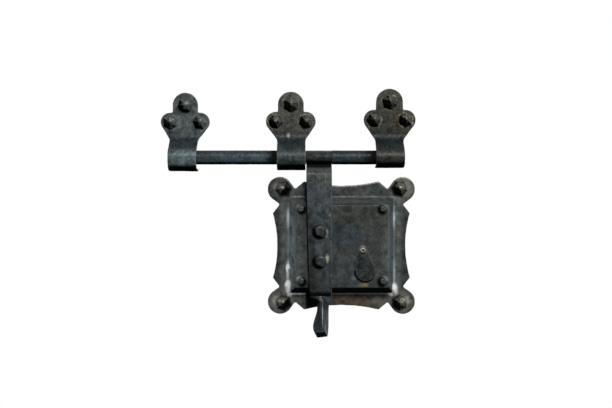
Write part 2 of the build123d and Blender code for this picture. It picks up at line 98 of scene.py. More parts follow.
# Screens round the object: their strengths, and the stretches of direction over which one turns into the next
SIDE_LIGHT = 1.8
TOP_LIGHT = 0.7
FRONT_LIGHT = 0.06
LEFT_SHARE = 0.4
SCREEN_TINT = (0.90, 1.0, 1.07)
SIDE_TO_TOP = (0.30, 0.90)
LEFT_TO_RIGHT = (-0.8, 0.2)
FRONT_TO_SIDE = (-0.60, -0.15)
GROUND_TO_SCREEN = (-0.35, 0.10)
GROUND_TO_FRONT = (-0.35, 0.15)
SIDE_TO_BACK = (0.0, 0.1)
GROUND_TO_BACK = (-0.2, 0.0)

# Floor: its drop below the object, and where it fades to white
FLOOR_DROP = 0.30
FLOOR_SIZE = 1.0
FLOOR_GREY = 0.55
FLOOR_FADE = (0.20, 0.48)
FLOOR_BACK = (0.1, 0.2)

# Tints that greys are multiplied by
NEUTRAL = (1.0, 1.0, 1.0)
COOL = (0.87, 1.01, 1.03)
BLUE = (0.78, 1.0, 1.17)
TEAL = (0.84, 1.0, 1.02)
OLIVE = (1.02, 1.03, 0.88)
WARM = (1.05, 1.02, 0.88)

# Colours of the patches: stains, and painted light and shade
PALE_SKY_LIGHT = (0.10, 0.13, 0.14)
WALL_SKY_LIGHT = (0.26, 0.33, 0.36)
LOBE_GREY = (0.20, 0.20, 0.18)
GLINT_GREY = (0.55, 0.58, 0.59)
BRIGHT_GLINT = (0.78, 0.80, 0.78)
WHITE_GLINT = (0.95, 0.96, 0.95)
PALE_HIGHLIGHT = (0.42, 0.41, 0.36)
CREAM = (0.20, 0.19, 0.155)
EYE_GREY = (0.13, 0.13, 0.11)
BROWN = (0.060, 0.042, 0.026)
OCHRE = (0.22, 0.18, 0.085)
BLACK = (0.004, 0.004, 0.004)

# Iron: its mottle, stretches of noise over which effects come in, and tones as shares of its grey
WHOLE = (0.0, 1.0)
MOTTLE_DARKER = 0.58
MOTTLE_LIGHTER = 0.55
MOTTLE_SPAN = (0.32, 0.68)
PATCH_SPAN = (0.30, 0.55)
PATCH_LEAST = 0.15
STAIN_FALL = (0.2, 1.0)
EDGE_SPAN = (0.15, 0.70)
EDGE_MOTTLE_SPAN = (0.25, 0.60)
EDGE_TONE = 3.0
GRAIN_SPAN = (0.35, 0.75)
GRAIN_SHARE = 0.25
GRAIN_TONE = 0.5
SPECK_SPAN = (0.42, 0.58)
FLECK_SPAN = (0.35, 0.65)
# Tones of painted shadow and of painted shade, as shares of the grey
PAINTED_SHADOW_TONE = 0.08
PAINTED_SHADE_TONE = 0.02
METAL = 0.4
GLOSS_LEAST = 0.3
GLOSS_MOST = 1.7
DULL_GLOSS = 0.05
ROUGH_SPAN = (0.25, 0.75)
ROUGH_BELOW = 0.06
ROUGH_ABOVE = 0.10
DULL_ROUGH = 0.35
DENT_DEPTH = 0.14 * MM
GRAIN_DEPTH = 0.03 * MM

# Forging: points closer than this are one, and how far edges, painted shadow and specks reach
JOINED = 0.002 * MM
EDGE_REACH = 1.6 * MM
EDGE_FULL = 0.28 * MM
SHADOW_REACH = 2.4 * MM
LIGHT_AND_SHADOW_SHIFT = 0.9 * MM
CRISP_REACH = 1.3 * MM
CRISP_GAIN = 1.3
SWELL_SIZE = 22 * MM
SWELL_SEED = 7
UNEVEN_SIZE = 7 * MM
UNEVEN_SEED = 3
SHADOW_LEAST = 0.75
SHADOW_VARIES = 0.6
SPECK_GAIN = 4
SPECK_START = 1.8
ANY_HEIGHT = 1.0

# Ways that faces turn to take painted shade
DOWN = (0.0, 0.0, -1.0)
LOW_LEFT = (-0.76, 0.0, -0.65)
LOW_LEFT_FRONT = (-0.70, -0.15, -0.60)

# Repeatable numbers: factors that mix a cell's place into one number, and the bits of it that are kept
CELL_FACTORS = (73856093, 19349663, 83492791)
SEED_FACTOR = 83492791
STIRS = ((13, 1274126177), (15, 668265263))
LOW_BITS = 0x7FFFFFFF
UPPER_SHIFT = 7
TOP_NUMBER = 0xFFFF


def middle(node):
    """Middle of a node's box, in millimetres."""
    low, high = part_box(node)
    return (low + high) / 2 / MM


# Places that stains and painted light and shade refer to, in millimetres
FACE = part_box("lock_case")[0].y / MM
WALL = -10.0
COVE = -3.0
FLANGE = -2.0
COVE_FOOT = -2.5
COVE_LEFT = -56.5
COVE_RIGHT = 55.6
LOBE_X = 65.0
LOBE_Z = 59.6
STRAPS = {"left": -166.6, "middle": -53.0, "right": 50.6}
STRAP_EDGE = 15.2
LOOP = -18.0
NECK = -10.0
BAR_Z = middle("slide_bar").z
HASP_FACE = -22.5
HASP_HEADS_FROM = 22.6 * MM
COVER_FOOT_BELOW = -17 * MM
COVER_SHADOW = 1.1 * MM
PIVOT = middle("cover_rivet")
CRESCENT_DEPTH = 3
OUTLINE_DECIMALS = 6


class StainAndLight(NamedTuple):
    """A stain or a patch of painted light or shade: what it is, its middle and reach along X, Y and Z in
    millimetres, its colour and share.

    A share above 1 covers the dark mottle too.
    """

    label: str
    middle: tuple
    reach: tuple
    colour: tuple
    share: float = 1.0


class FinishAndShade(NamedTuple):
    """Finish of one iron and its painted shade: its grey, how uneven and worn it is, how far its faces take
    painted shade, and how it shines.

    Streak stretches the streaks along X, Y and Z, and hollow is the tone of hollows as a share of the grey;
    above 1 it is a painted highlight.
    The painted shade span is the stretch of turning to the shade over which faces blacken with painted shade.
    """

    tone: float
    tint: tuple = COOL
    streak: tuple = NEUTRAL
    streaked: float = 0.6
    mottled: float = 1.0
    detail: float = 6.0
    flecked: float = 0.55
    pitted: float = 1.0
    hollow: float = 0.4
    wear: float = 0.7
    painted_shade_span: tuple = (0.20, 0.65)
    ragged: float = 0.0
    roughness: float = 0.32
    gloss: float = 0.3


class Layer(NamedTuple):
    """A grey laid over the iron where a noise is in its span: the share it covers, its tone and its tint."""

    noise: bpy.types.NodeSocket
    span: tuple
    share: float
    tone: float
    tint: tuple = NEUTRAL


class Work(NamedTuple):
    """How a piece is forged, in millimetres: mesh size, width and depth of hammer marks, depth of swell.

    Easing is how many rounds its edges are eased, and a snug piece keeps the faces that turn to the side.
    """

    voxel: float
    mark: float
    depth: float
    swell: float = 0.25
    easing: int = 3
    snug: float = 0.0


class ShadeAndWear(NamedTuple):
    """Painted shade and wear of a piece: wide and crisp painted shadows, and rings of pale specks, which on
    the case are a painted highlight, each as outlines with shares.

    Faces turned to the shade, which can be mirrored left of the middle, take painted shade.
    Edges are rubbed bright below a height.
    """

    shadows: tuple = ()
    crisp_shadows: tuple = ()
    speck_and_highlight_rings: tuple = ()
    shade: tuple = DOWN
    mirrored: bool = False
    worn_below: float = ANY_HEIGHT


class Paint:
    """Nodes of one material or world, with a short call for each kind of node."""

    def __init__(self, owner, coordinates="Object"):
        owner.use_nodes = True
        self.tree = owner.node_tree
        self.tree.nodes.clear()
        self.place = self.node("TexCoord").outputs[coordinates]

    def node(self, kind):
        return self.tree.nodes.new("ShaderNode" + kind)

    def feed(self, socket, value):
        """Link a node's output to a socket, or set the socket to a plain value."""
        if isinstance(value, bpy.types.NodeSocket):
            self.tree.links.new(value, socket)
        elif socket.type == "RGBA":
            socket.default_value = (*value, 1.0)
        else:
            socket.default_value = value

    def math(self, operation, a, b):
        node = self.node("Math")
        node.operation = operation
        self.feed(node.inputs[0], a)
        self.feed(node.inputs[1], b)
        return node.outputs[0]

    def vector(self, operation, a, b=(0.0, 0.0, 0.0)):
        node = self.node("VectorMath")
        node.operation = operation
        self.feed(node.inputs[0], a)
        self.feed(node.inputs[1], b)
        return node

    def axes(self):
        """X, Y and Z of the place."""
        node = self.node("SeparateXYZ")
        self.feed(node.inputs[0], self.place)
        return node.outputs["X"], node.outputs["Y"], node.outputs["Z"]

    def stretched(self, scale):
        node = self.node("Mapping")
        self.feed(node.inputs["Vector"], self.place)
        self.feed(node.inputs["Scale"], scale)
        return node.outputs[0]

    def cloud(self, size, detail, rough=0.55, twist=0.0, vector=None):
        """Soft noise whose blotches are about this size, in millimetres."""
        node = self.node("TexNoise")
        self.feed(node.inputs["Vector"], vector or self.place)
        self.feed(node.inputs["Scale"], 1 / (size * MM))
        self.feed(node.inputs["Detail"], detail)
        self.feed(node.inputs["Roughness"], rough)
        self.feed(node.inputs["Distortion"], twist)
        return node.outputs["Fac"]

    def spread(self, value, span, to_low=0.0, to_high=1.0):
        """Value within a span, drawn out to another range and kept inside it."""
        node = self.node("MapRange")
        node.interpolation_type = "SMOOTHSTEP"
        self.feed(node.inputs["Value"], value)
        self.feed(node.inputs["From Min"], span[0])
        self.feed(node.inputs["From Max"], span[1])
        self.feed(node.inputs["To Min"], to_low)
        self.feed(node.inputs["To Max"], to_high)
        return node.outputs[0]

    def blend(self, share, below, above, way="MIX", label=""):
        """Colour below, covered or multiplied by the colour above in this share."""
        node = self.node("Mix")
        node.data_type = "RGBA"
        node.blend_type = way
        node.label = label
        self.feed(node.inputs["Factor"], share)
        self.feed(node.inputs["A"], below)
        self.feed(node.inputs["B"], above)
        return node.outputs["Result"]

    def stored(self, name):
        """Measure that is kept on the points of the mesh."""
        node = self.node("Attribute")
        node.attribute_name = name
        return node.outputs["Fac"]

    def distance(self, spot):
        """Distance from a spot, in metres."""
        return self.vector("DISTANCE", self.place, spot).outputs["Value"]

    def near(self, stain):
        """1 in the middle of a stain, falling to 0 at its reach."""
        spot = [value * MM for value in stain.middle]
        reach = [value * MM for value in stain.reach]
        offset = self.vector("SUBTRACT", self.place, spot).outputs["Vector"]
        share = self.vector("DIVIDE", offset, reach).outputs["Vector"]
        return self.spread(self.vector("LENGTH", share).outputs["Value"], STAIN_FALL, 1.0, 0.0)

    def bump(self, height, depth, normal=None):
        node = self.node("Bump")
        self.feed(node.inputs["Height"], height)
        self.feed(node.inputs["Distance"], depth)
        if normal:
            self.feed(node.inputs["Normal"], normal)
        return node.outputs[0]

    def white_rays(self, behind):
        """Rays that see the white ground: the camera's, and shiny ones that go behind the object."""
        rays = self.node("LightPath").outputs
        shiny = self.math("MAXIMUM", rays["Is Glossy Ray"], rays["Is Transmission Ray"])
        return self.math("MAXIMUM", rays["Is Camera Ray"], self.math("MULTIPLY", shiny, behind))

    def choose(self, share, below, above):
        """One shader, covered by another in this share."""
        node = self.node("MixShader")
        for socket, value in zip(node.inputs, (share, below, above)):
            self.feed(socket, value)
        return node.outputs[0]

    def show(self, kind, shader):
        """Make a shader the one that is seen."""
        self.feed(self.node(kind).inputs["Surface"], shader)


def grey(level, tint=NEUTRAL):
    return tuple(level * share for share in tint)


# Studio


def add_camera():
    """Camera square to the door, at the photograph's distance and angle of view."""
    lens = bpy.data.cameras.new("camera")
    lens.sensor_fit = "HORIZONTAL"
    lens.sensor_width = SENSOR_WIDTH
    lens.lens = FOCAL_PIXELS * SENSOR_WIDTH / PHOTO_WIDTH
    lens.clip_start = NEAREST_SEEN
    camera = bpy.data.objects.new("camera", lens)
    camera.location = EYE
    camera.rotation_euler = (math.radians(90), 0, 0)
    bpy.context.scene.collection.objects.link(camera)
    bpy.context.scene.camera = camera


def add_lamp():
    """Soft square lamp, high in front at the right, that faces the middle of the object."""
    lamp = bpy.data.lights.new("key", "AREA")
    lamp.shape = "SQUARE"
    lamp.size = LAMP_SIZE
    lamp.energy = LAMP_WATTS
    lamp.color = LAMP_COLOUR
    holder = bpy.data.objects.new("key", lamp)
    holder.location = (cad_box[0] + cad_box[1]) / 2 + LAMP_PLACE
    holder.rotation_euler = (-LAMP_PLACE).to_track_quat("-Z", "Y").to_euler()
    bpy.context.scene.collection.objects.link(holder)


def add_world():
    """Bright soft screens above and at the sides, over dark ground and before a white wall."""
    world = bpy.data.worlds.new("studio")
    bpy.context.scene.world = world
    paint = Paint(world, "Generated")
    x, y, z = paint.axes()
    screens = paint.spread(z, SIDE_TO_TOP, SIDE_LIGHT, TOP_LIGHT)
    screens = paint.math("MULTIPLY", screens, paint.spread(x, LEFT_TO_RIGHT, LEFT_SHARE, 1.0))
    around = paint.math("MULTIPLY", paint.spread(y, FRONT_TO_SIDE), paint.spread(z, GROUND_TO_SCREEN))
    screens = paint.math("MULTIPLY", screens, around)
    front = paint.spread(z, GROUND_TO_FRONT, 0.0, FRONT_LIGHT)
    sky = paint.node("Background")
    paint.feed(sky.inputs["Color"], SCREEN_TINT)
    paint.feed(sky.inputs["Strength"], paint.math("ADD", screens, front))
    wall = paint.node("Background")
    paint.feed(wall.inputs["Color"], grey(1.0))
    paint.feed(wall.inputs["Strength"], 1)
    behind = paint.math("MULTIPLY", paint.spread(y, SIDE_TO_BACK), paint.spread(z, GROUND_TO_BACK))
    paint.show("OutputWorld", paint.choose(paint.white_rays(behind), sky.outputs[0], wall.outputs[0]))


def pale_floor(level):
    """Dull grey below the object that fades to white further off."""
    material = bpy.data.materials.new("pale_floor")
    paint = Paint(material)
    dull = paint.node("BsdfDiffuse")
    paint.feed(dull.inputs["Color"], grey(FLOOR_GREY))
    white = paint.node("Emission")
    paint.feed(white.inputs["Strength"], 1)
    far = paint.spread(paint.distance((0, 0, level)), FLOOR_FADE)
    _, y, _ = paint.axes()
    seen = paint.white_rays(paint.spread(y, FLOOR_BACK))
    share = paint.math("MULTIPLY", seen, far)
    paint.show("OutputMaterial", paint.choose(share, dull.outputs[0], white.outputs[0]))
    return material


def add_floor():
    """Floor below the photograph's frame, which takes the object's shadow."""
    mesh = bpy.data.meshes.new("floor")
    half = FLOOR_SIZE / 2
    level = cad_box[0].z - FLOOR_DROP
    corners = [(-half, -half, level), (half, -half, level), (half, half, level), (-half, half, level)]
    mesh.from_pydata(corners, [], [(0, 1, 2, 3)])
    mesh.materials.append(pale_floor(level))
    floor = bpy.data.objects.new("floor", mesh)
    bpy.context.scene.collection.objects.link(floor)


# Outlines of small fittings, seen from the front


def turn(a, b, c):
    """Above 0 where the way from a by b to c turns left."""
    return (b[0] - a[0]) * (c[1] - a[1]) - (b[1] - a[1]) * (c[0] - a[0])


def convex_outline(points):
    """Corners, turning left, of the tightest convex outline round some points."""
    points = sorted({(round(x, OUTLINE_DECIMALS), round(z, OUTLINE_DECIMALS)) for x, z in points})
    halves = []
    for run in (points, points[::-1]):
        half = []
        for x, z in run:
            while len(half) > 1 and turn(half[-2], half[-1], (x, z)) <= 0:
                half.pop()
            half.append((x, z))
        halves.append(half[:-1])
    return np.array(halves[0] + halves[1])


def joined_shape(node):
    """The node's solid with the points that its faces share joined."""
    shape = bmesh.new()
    shape.from_mesh(frame["nodes"][node].data)
    bmesh.ops.remove_doubles(shape, verts=shape.verts, dist=JOINED)
    return shape


def outlines(node, in_front=0.0):
    """Convex outline, in full share, of each solid of a node or of each of its parts in front of a depth."""
    shape = joined_shape(node)
    waiting = {vert for vert in shape.verts if vert.co.y <= -in_front}
    found = []
    while waiting:
        reached = [waiting.pop()]
        solid = []
        while reached:
            vert = reached.pop()
            solid.append((vert.co.x, vert.co.z))
            linked = {edge.other_vert(vert) for edge in vert.link_edges} & waiting
            waiting -= linked
            reached.extend(linked)
        found.append((convex_outline(solid), 1.0))
    shape.free()
    return found


def shifted(fittings, outward, up):
    """Outlines moved up, and away from the case's middle on both sides of it."""
    moved = []
    for corners, share in fittings:
        side = np.sign(corners[:, 0].mean())
        moved.append((corners + np.array((outward * side, up)), share))
    return moved


def strip(left, right, low, high, lean=0.0):
    """Outline of an upright band, in millimetres, whose top may lean to the side."""
    return np.array([(right + lean, high), (left + lean, high), (left, low), (right, low)]) * MM


def crescents(label, fittings, level, reach, low_share, high_share):
    """Painted highlights at small fittings, at a level along Y, with shares below and above the case's
    middle.
    """
    highlights = []
    for corners, _ in fittings:
        x, z = corners.mean(axis=0) / MM
        share = low_share if z < 0 else high_share
        highlights.append(StainAndLight(label, (x, level, z), (reach, CRESCENT_DEPTH * reach, reach), PALE_HIGHLIGHT, share))
    return highlights


# Iron


def iron_noises(paint, finish_and_shade):
    """Noises of the iron, from broad clouds to fine grain."""
    streaked_place = paint.stretched(finish_and_shade.streak)
    return SimpleNamespace(
        broad=paint.cloud(size=30, detail=3.0),
        scale=paint.cloud(size=14, detail=5.0, rough=0.65),
        mottle=paint.cloud(size=8, detail=finish_and_shade.detail, rough=0.62, twist=0.5),
        streaks=paint.cloud(size=6, detail=5.0, rough=0.6, vector=streaked_place),
        dents=paint.cloud(size=3.2, detail=5.0, rough=0.6),
        fleck=paint.cloud(size=2.4, detail=5.0, rough=0.65),
        pits=paint.cloud(size=1.6, detail=4.0, rough=0.6, twist=0.4),
        grain=paint.cloud(size=0.9, detail=3.0, rough=0.6),
    )


def mottled_greys(paint, finish_and_shade, noise):
    """Ground colour of the iron: light and dark mottle under streaks, flecks, pits, scale and hollows."""
    dark = grey((1 - MOTTLE_DARKER * finish_and_shade.mottled) * finish_and_shade.tone, finish_and_shade.tint)
    light = grey((1 + MOTTLE_LIGHTER * finish_and_shade.mottled) * finish_and_shade.tone, finish_and_shade.tint)
    colour = paint.blend(paint.spread(noise.mottle, MOTTLE_SPAN), dark, light)
    layers = [
        Layer(noise.broad, span=(0.40, 0.65), share=0.5, tone=0.95, tint=WARM),
        Layer(noise.streaks, span=(0.54, 0.72), share=finish_and_shade.streaked, tone=2.0, tint=finish_and_shade.tint),
        Layer(noise.streaks, span=(0.46, 0.28), share=finish_and_shade.streaked, tone=0.35, tint=finish_and_shade.tint),
        Layer(noise.fleck, span=(0.50, 0.64), share=finish_and_shade.flecked, tone=2.0, tint=finish_and_shade.tint),
        Layer(noise.pits, span=(0.52, 0.66), share=0.75 * finish_and_shade.pitted, tone=0.35),
        Layer(noise.scale, span=(0.50, 0.72), share=0.55 * finish_and_shade.pitted, tone=0.45),
        # Hollows take their own tone: a painted highlight where it is above 1, as on the case
        Layer(paint.stored("hollow"), span=(0.10, 0.60), share=0.6, tone=finish_and_shade.hollow),
    ]
    for layer in layers:
        share = paint.spread(layer.noise, layer.span, 0.0, layer.share)
        colour = paint.blend(share, colour, grey(layer.tone * finish_and_shade.tone, layer.tint))
    return colour


def stained_and_lit(paint, noise, colour, washes, patches):
    """Colour with its stains and its painted light and shade: a wash multiplies what is below it, and a patch
    covers it.
    """
    for wash in washes:
        colour = paint.blend(paint.near(wash), colour, wash.colour, "MULTIPLY", wash.label)
    for patch in patches:
        cover = paint.spread(noise.mottle, PATCH_SPAN, PATCH_LEAST, patch.share)
        cover = paint.math("MULTIPLY", paint.near(patch), cover)
        colour = paint.blend(cover, colour, patch.colour, label=patch.label)
    return colour


def worn_and_lit(paint, finish_and_shade, noise, colour):
    """Colour with rubbed edges, fine dark grain and pale specks in the speck rings, which on the case are a
    painted highlight.
    """
    edge = paint.spread(paint.stored("edge"), EDGE_SPAN)
    rubbed = paint.math("MULTIPLY", edge, paint.spread(noise.mottle, EDGE_MOTTLE_SPAN))
    rubbed = paint.math("MULTIPLY", rubbed, finish_and_shade.wear)
    colour = paint.blend(rubbed, colour, grey(EDGE_TONE * finish_and_shade.tone, finish_and_shade.tint))
    grain = paint.spread(noise.grain, GRAIN_SPAN, 0.0, GRAIN_SHARE)
    colour = paint.blend(grain, colour, grey(GRAIN_TONE * finish_and_shade.tone))
    specks = paint.math("MULTIPLY", paint.stored("specks_and_highlight"), paint.spread(noise.fleck, SPECK_SPAN))
    return paint.blend(specks, colour, CREAM)


def painted_shade_share(paint, finish_and_shade, noise):
    """How much painted shade a face takes, by the way it turns, with a ragged border where one is asked for.
    """
    shaded = paint.stored("under")
    if finish_and_shade.ragged:
        border = paint.spread(noise.fleck, FLECK_SPAN, -finish_and_shade.ragged, finish_and_shade.ragged)
        shaded = paint.math("ADD", shaded, border)
    return paint.spread(shaded, finish_and_shade.painted_shade_span)


def iron(name, finish_and_shade, washes=(), patches=()):
    """Blackened iron: mottled greys, stains with painted light and shade, rubbed edges, painted shadow and
    painted shade that also dull its shine, a broken shine and fine dents.
    """
    material = bpy.data.materials.new(name)
    paint = Paint(material)
    noise = iron_noises(paint, finish_and_shade)
    colour = mottled_greys(paint, finish_and_shade, noise)
    colour = stained_and_lit(paint, noise, colour, washes, patches)
    colour = worn_and_lit(paint, finish_and_shade, noise, colour)
    # Painted shadow beside and below fittings and on bends, laid as a dark colour
    painted_shadow = paint.stored("painted_shadow")
    colour = paint.blend(painted_shadow, colour, grey(PAINTED_SHADOW_TONE * finish_and_shade.tone))
    # Painted shade: faces turned to the shade blacken, and with the painted shadow they lose their shine
    painted_shade = painted_shade_share(paint, finish_and_shade, noise)
    colour = paint.blend(painted_shade, colour, grey(PAINTED_SHADE_TONE * finish_and_shade.tone))
    dull = paint.math("MAXIMUM", painted_shade, painted_shadow)
    gloss = paint.spread(noise.fleck, FLECK_SPAN, GLOSS_LEAST * finish_and_shade.gloss, GLOSS_MOST * finish_and_shade.gloss)
    gloss = paint.math("MULTIPLY", gloss, paint.spread(dull, WHOLE, 1.0, DULL_GLOSS))
    smoothest = finish_and_shade.roughness - ROUGH_BELOW
    roughest = finish_and_shade.roughness + ROUGH_ABOVE
    roughness = paint.spread(noise.mottle, ROUGH_SPAN, smoothest, roughest)
    roughness = paint.math("ADD", roughness, paint.math("MULTIPLY", dull, DULL_ROUGH))
    relief = paint.bump(noise.dents, DENT_DEPTH)
    relief = paint.bump(noise.grain, GRAIN_DEPTH, relief)
    shader = paint.node("BsdfPrincipled")
    paint.feed(shader.inputs["Base Color"], colour)
    paint.feed(shader.inputs["Metallic"], paint.spread(dull, WHOLE, METAL, 0.0))
    paint.feed(shader.inputs["Specular IOR Level"], gloss)
    paint.feed(shader.inputs["Roughness"], roughness)
    paint.feed(shader.inputs["Normal"], relief)
    paint.show("OutputMaterial", shader.outputs[0])
    return material


def case_washes():
    """Rust on the lower flange and right lobes, painted highlights on the coves and face edges, painted shade
    in the coves' middles and on the face's top edge, a face blued in its middle.
    """
    return [
        StainAndLight("rusty lower flange", (12, COVE, -62.5), (40, 30, 20), (1.6, 1.05, 0.72)),
        StainAndLight("rusty lower right lobe", (66, COVE, -60), (22, 30, 22), (1.2, 1.0, 0.72)),
        StainAndLight("warm upper right lobe", (66, COVE, 60), (22, 30, 22), (1.1, 1.05, 0.80)),
        StainAndLight("painted highlight on the left edge of the face", (-48, FACE, 0), (10, 10, 80), (1.5, 1.42, 1.35)),
        StainAndLight("painted highlight on the right edge of the face", (47.5, FACE, 0), (8, 10, 70), grey(1.5)),
        StainAndLight("painted highlight on the left cove", (-57.5, FLANGE, 0), (12, 6, 85), grey(1.75)),
        StainAndLight("painted highlight on the right cove", (57, FLANGE, 0), (12, 6, 85), grey(2.1)),
        StainAndLight("painted shade in the middle of the left cove", (COVE_LEFT, COVE, 4), (5, 6, 26), grey(0.65)),
        StainAndLight("painted shade in the middle of the right cove", (COVE_RIGHT, COVE, 2), (5, 6, 30), grey(0.48)),
        StainAndLight("dark left flange", (-70, FLANGE, 0), (9, 6, 55), grey(0.55)),
        StainAndLight("dark right flange", (68.5, FLANGE, 0), (8, 6, 55), grey(0.5)),
        StainAndLight("painted shade on the top edge of the face", (0, FACE + 0.2, 43.2), (80, 3, 2.2), grey(0.6)),
        StainAndLight("brown upper face", (5, FACE, 30), (70, 10, 18), (0.85, 0.80, 0.70)),
        StainAndLight("blued middle of the face", (5, FACE, 12), (28, 10, 22), (0.72, 0.86, 1.02)),
        StainAndLight("blued lower face", (10, FACE, -36), (60, 10, 14), (0.95, 0.98, 1.05)),
    ]


def case_patches():
    """Grey lobes, painted sky light on the walls, painted glints along the coved foot, painted highlights by
    the nails and domes.
    """
    patches = []
    for side, half, share in ((-1, -1, 0.9), (1, 1, 0.7), (1, -1, 0.6)):
        lobe = (side * LOBE_X, FLANGE, half * LOBE_Z)
        patches.append(StainAndLight("grey lobe", lobe, (18, 10, 18), LOBE_GREY, share))
    patches += [
        StainAndLight("painted sky light on the left wall", (-53.5, WALL, 0), (8, 14, 70), WALL_SKY_LIGHT),
        StainAndLight("painted sky light on the right wall", (53.5, WALL, 0), (8, 14, 70), PALE_SKY_LIGHT, 0.6),
        StainAndLight("grey lower left flange", (-45, FLANGE, -56), (14, 10, 11), LOBE_GREY, 0.55),
        StainAndLight("grey lower right flange", (39, FLANGE, -61), (18, 10, 9), LOBE_GREY, 0.45),
        StainAndLight("left glint, whole", (COVE_LEFT, COVE, 0), (2.2, 4, 62), GLINT_GREY, 0.12),
        StainAndLight("left glint, lower", (COVE_LEFT, COVE, -30), (3, 4, 20), BRIGHT_GLINT, 0.8),
        StainAndLight("left glint, upper", (COVE_LEFT, COVE, 29), (2.6, 4, 15), GLINT_GREY, 0.9),
        StainAndLight("left glint, corner", (COVE_LEFT, COVE, -46), (6, 5, 10), BRIGHT_GLINT),
        StainAndLight("left glint, foot", (-55, COVE_FOOT, -50), (7, 5, 5), BRIGHT_GLINT),
        StainAndLight("lower glint", (-47, COVE_FOOT, -51.2), (13, 4, 2.4), GLINT_GREY, 0.8),
        StainAndLight("right glint, whole", (COVE_RIGHT, COVE, 0), (2.2, 4, 62), GLINT_GREY, 0.08),
        StainAndLight("right glint, lower", (COVE_RIGHT, COVE, -28), (2.8, 4, 18), GLINT_GREY, 0.5),
        StainAndLight("right glint, upper", (COVE_RIGHT, COVE, 29), (2.6, 4, 15), GLINT_GREY, 0.8),
        StainAndLight("right glint, corner", (COVE_RIGHT, COVE, -46), (6, 5, 10), BRIGHT_GLINT),
        StainAndLight("right glint, foot", (54.5, COVE_FOOT, -50), (7.5, 5, 5), BRIGHT_GLINT),
        StainAndLight("left glint, upper peak", (COVE_LEFT, COVE, -24), (3.4, 4, 7), WHITE_GLINT, 2.0),
        StainAndLight("left glint, lower peak", (-56, COVE, -41.5), (4.8, 5, 6.8), WHITE_GLINT, 2.0),
        StainAndLight("right glint, peak", (55.2, COVE, -45), (5, 5, 6.4), WHITE_GLINT, 2.0),
        StainAndLight("ochre below the cover", (22.6, FACE, -40.3), (10, 6, 3), OCHRE),
        StainAndLight("scrape by the cover", (12.2, FACE, -33.4), (4, 6, 2.4), LOBE_GREY, 0.6),
    ]
    nail_lights = shifted(outlines("case_nails"), outward=7.5 * MM, up=2.5 * MM)
    patches += crescents("painted highlight by a nail", nail_lights, level=COVE, reach=5.5, low_share=1.0, high_share=0.2)
    dome_lights = shifted(outlines("cap_pillars"), outward=2.2 * MM, up=2.2 * MM)
    patches += crescents("painted highlight by a dome", dome_lights, level=FACE, reach=4.4, low_share=1.0, high_share=0.5)
    return patches


def case_iron():
    """Smooth dark sheet with a painted highlight in its hollows, the coves."""
    finish_and_shade = FinishAndShade(
        tone=0.060, tint=TEAL, mottled=0.55, detail=3.0, flecked=0.2, pitted=0.2, hollow=1.8, wear=0.2,
        painted_shade_span=(0.40, 0.80),
    )
    return iron("case_iron", finish_and_shade, case_washes(), case_patches())


def keeper_iron():
    """Rough olive iron, with painted blue sky light on the left keeper, dark necks, and painted highlights on
    the right edges of two of the loops.
    """
    left, centre, right = STRAPS["left"], STRAPS["middle"], STRAPS["right"]
    washes = [
        StainAndLight("painted blue sky light on the left keeper", (left + 0.6, -12, 130), (60, 60, 60), (1.20, 1.45, 1.75)),
        StainAndLight("painted blue sky light on the left loop", (left, LOOP, 90), (60, 50, 18), (1.65, 1.95, 2.2)),
        StainAndLight("blued middle loop", (centre, LOOP, 92), (60, 50, 20), (0.62, 0.85, 0.98)),
        StainAndLight("dull middle plate", (centre, -4, 135), (60, 50, 60), (0.85, 0.85, 0.82)),
        StainAndLight("dark right keeper", (right, NECK, 115), (80, 60, 110), (0.46, 0.48, 0.46)),
        StainAndLight("dark left neck", (left, NECK, 109.5), (60, 50, 16.5), (0.30, 0.34, 0.40)),
        StainAndLight("dark middle neck", (centre, NECK, 110.5), (60, 50, 16.5), (0.32, 0.42, 0.55)),
        StainAndLight("dark right neck", (right, NECK, 111), (60, 50, 16.5), (0.35, 0.46, 0.62)),
        StainAndLight("rusty lobe", (67, -3, 133), (18, 20, 18), (1.5, 1.25, 0.85)),
    ]
    patches = [
        StainAndLight("painted highlight on the left loop's right edge", (left + STRAP_EDGE, -12, 91), (1.3, 16, 14), CREAM),
        StainAndLight("painted highlight on the middle loop's right edge", (centre + STRAP_EDGE, -12, 91), (1.3, 16, 14), CREAM),
        StainAndLight("scrape on the middle neck", (-56.2, -6, 116.9), (2.8, 12, 4.5), CREAM, 0.9),
    ]
    finish_and_shade = FinishAndShade(
        tone=0.050, tint=OLIVE, mottled=1.25, detail=4.0, flecked=0.45, wear=1.0, roughness=0.48, gloss=0.15,
    )
    return iron("keeper_iron", finish_and_shade, washes, patches)


def nail_iron():
    """Pitted nails, with painted shade on one side and painted highlights on the tops and sides of the case's
    nails, blued at the left keeper and dark at the other two.
    """
    keeper_colours = {"left": (0.98, 1.18, 1.36), "middle": (0.70, 0.68, 0.66), "right": (0.66, 0.64, 0.60)}
    washes = []
    for side, colour in keeper_colours.items():
        washes.append(StainAndLight(side + " keeper's nails", (STRAPS[side], -10, 140), (60, 60, 60), colour))
    for x in (-LOBE_X, LOBE_X):
        washes.append(StainAndLight("lower case nail", (x, -5, -LOBE_Z), (40, 40, 40), (0.85, 0.85, 0.82)))
    tops = shifted(outlines("case_nails"), outward=1.2 * MM, up=1.2 * MM)
    patches = crescents("painted highlight on top", tops, level=-9, reach=2.4, low_share=0.3, high_share=0.9)
    sides = shifted(outlines("case_nails"), outward=4.5 * MM, up=3.0 * MM)
    patches += crescents("painted highlight on the side", sides, level=-6, reach=4.5, low_share=0.8, high_share=0.15)
    finish_and_shade = FinishAndShade(
        tone=0.075, tint=OLIVE, flecked=0.8, pitted=1.2, wear=0.5, painted_shade_span=(-0.06, 0.28), ragged=0.20,
        roughness=0.40, gloss=0.4,
    )
    return iron("nail_iron", finish_and_shade, washes, patches)


